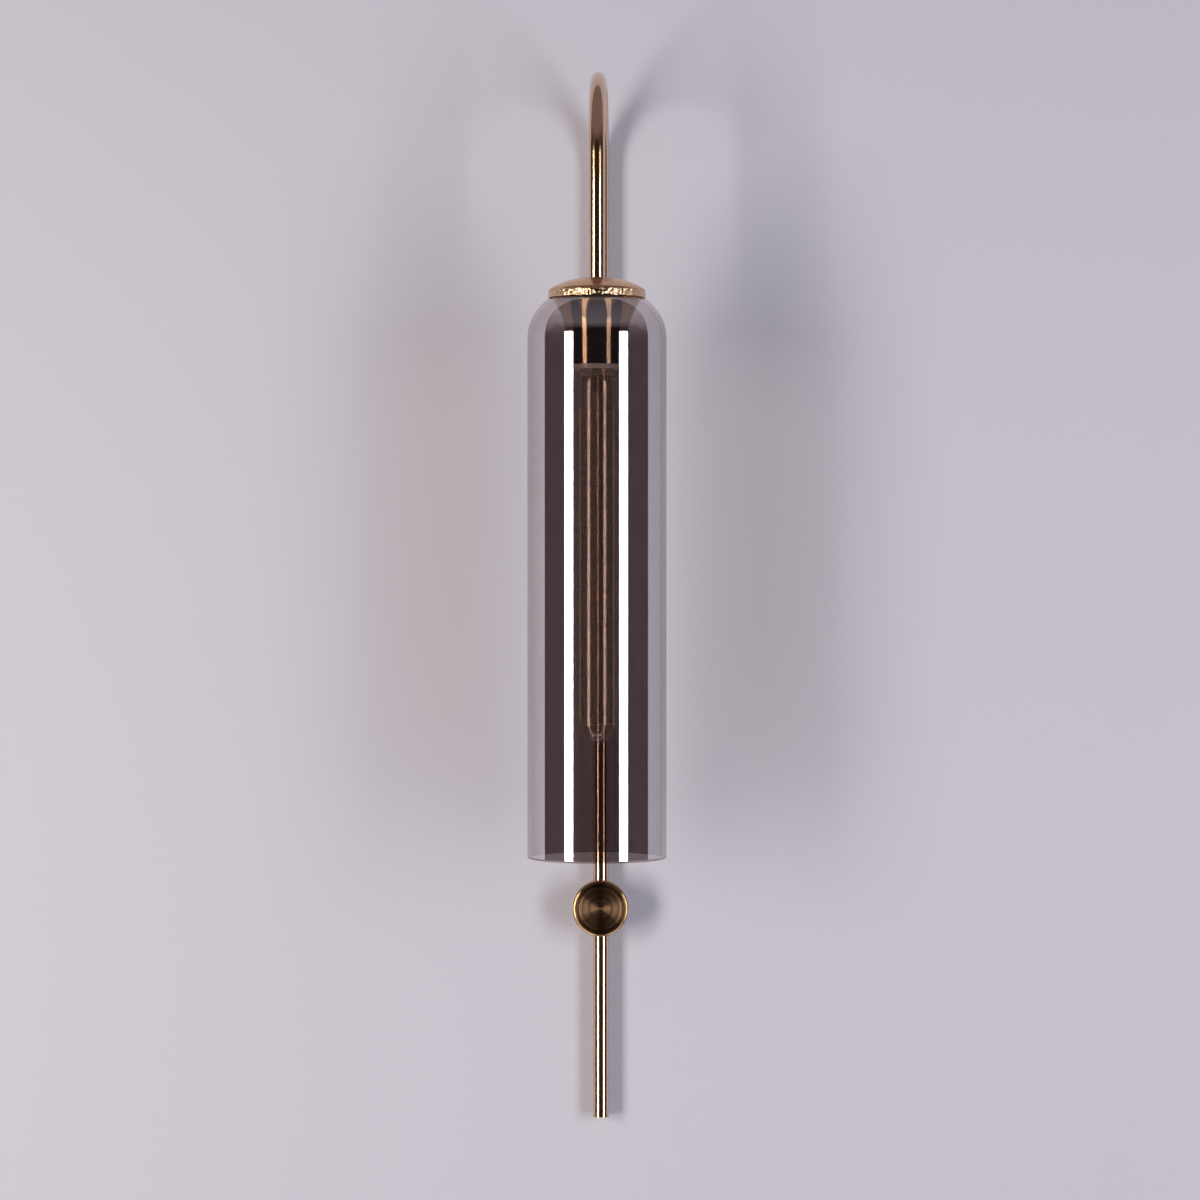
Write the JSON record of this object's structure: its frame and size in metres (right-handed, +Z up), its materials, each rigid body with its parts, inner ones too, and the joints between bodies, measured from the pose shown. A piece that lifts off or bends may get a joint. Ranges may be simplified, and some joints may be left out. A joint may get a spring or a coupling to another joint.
{
  "type": "glass wall light",
  "caption": "Wall light with a gooseneck brass tube clamped to a wall plate by a round knob, and a long open domed tube shade of smoked glass over a tubular screw-cap bulb.",
  "frame": {"origin": "on the wall plane, on the axis of the clamp knob, at the back of the wall plate", "axes": "+Z up along the rod, -Y out from the wall towards the room, +X to the right as seen from the room"},
  "size_m": [0.1, 0.18, 0.7787],
  "materials": {
    "polished_brass": "polished and lacquered, warm",
    "turned_brass": "lathe-turned face with fine concentric marks",
    "contact_brass": "plain stamped",
    "zinc_steel": "zinc plated",
    "black_steel": "blackened",
    "black_rubber": "matt",
    "cable_sheath": "heat-resisting white sleeve",
    "smoked_glass": "smoked, clear, fire-polished",
    "porcelain": "glazed",
    "bulb_glass": "clear, faint amber tint",
    "stem_glass": "clear",
    "black_glass": "opaque vitrite",
    "bulb_cap_metal": "rolled, satin",
    "filament_wire": "dark drawn wire"
  },
  "bodies": {
    "light": {"wall_plate": "zinc_steel", "mounting_stud": "zinc_steel", "cable_bush": "black_rubber", "rod_collar": "polished_brass", "lamp_arm": "polished_brass", "arm_end_plug": "polished_brass", "upper_rest": "polished_brass", "rest_pad": "black_rubber", "supply_lead": "cable_sheath", "shade_cap": "polished_brass", "threaded_nipple": "zinc_steel", "cap_nut": "zinc_steel", "clamp_washer": "zinc_steel", "upper_gasket": "black_rubber", "glass_shade": "smoked_glass", "lower_gasket": "black_rubber", "socket_cup": "polished_brass", "cup_nut": "zinc_steel", "cup_screw": "black_steel", "lampholder_body": "porcelain", "lampholder_shell": "contact_brass", "lampholder_contact": "contact_brass", "terminal_screws": "contact_brass"},
    "bulb": {"bulb_glass": "bulb_glass", "bulb_base": "bulb_cap_metal", "bulb_insulator": "black_glass", "bulb_contact": "bulb_cap_metal", "bulb_stem": "stem_glass", "lead_wires": "filament_wire", "bulb_filament": "filament_wire", "filament_supports": "filament_wire"},
    "washer": {"knob_washer": "polished_brass"},
    "knob": {"clamp_knob": "turned_brass"}
  },
  "joints": [
    {"name": "bulb_draw", "type": "slide", "parent": "light", "child": "bulb", "axis": [0, 0, -1], "range_m": [0, 0.39]},
    {"name": "washer_slide", "type": "slide", "parent": "light", "child": "washer", "axis": [0, -1, 0], "range_m": [0, 0.0075]},
    {"name": "knob_turn", "type": "hinge", "parent": "washer", "child": "knob", "pos_m": [0, 0, 0], "axis": [0, -1, 0], "range_deg": [0, 2700]}
  ],
  "couplings": [
    {"joint": "washer_slide", "follows": "knob_turn", "m_per_rad": 0.00015915}
  ]
}
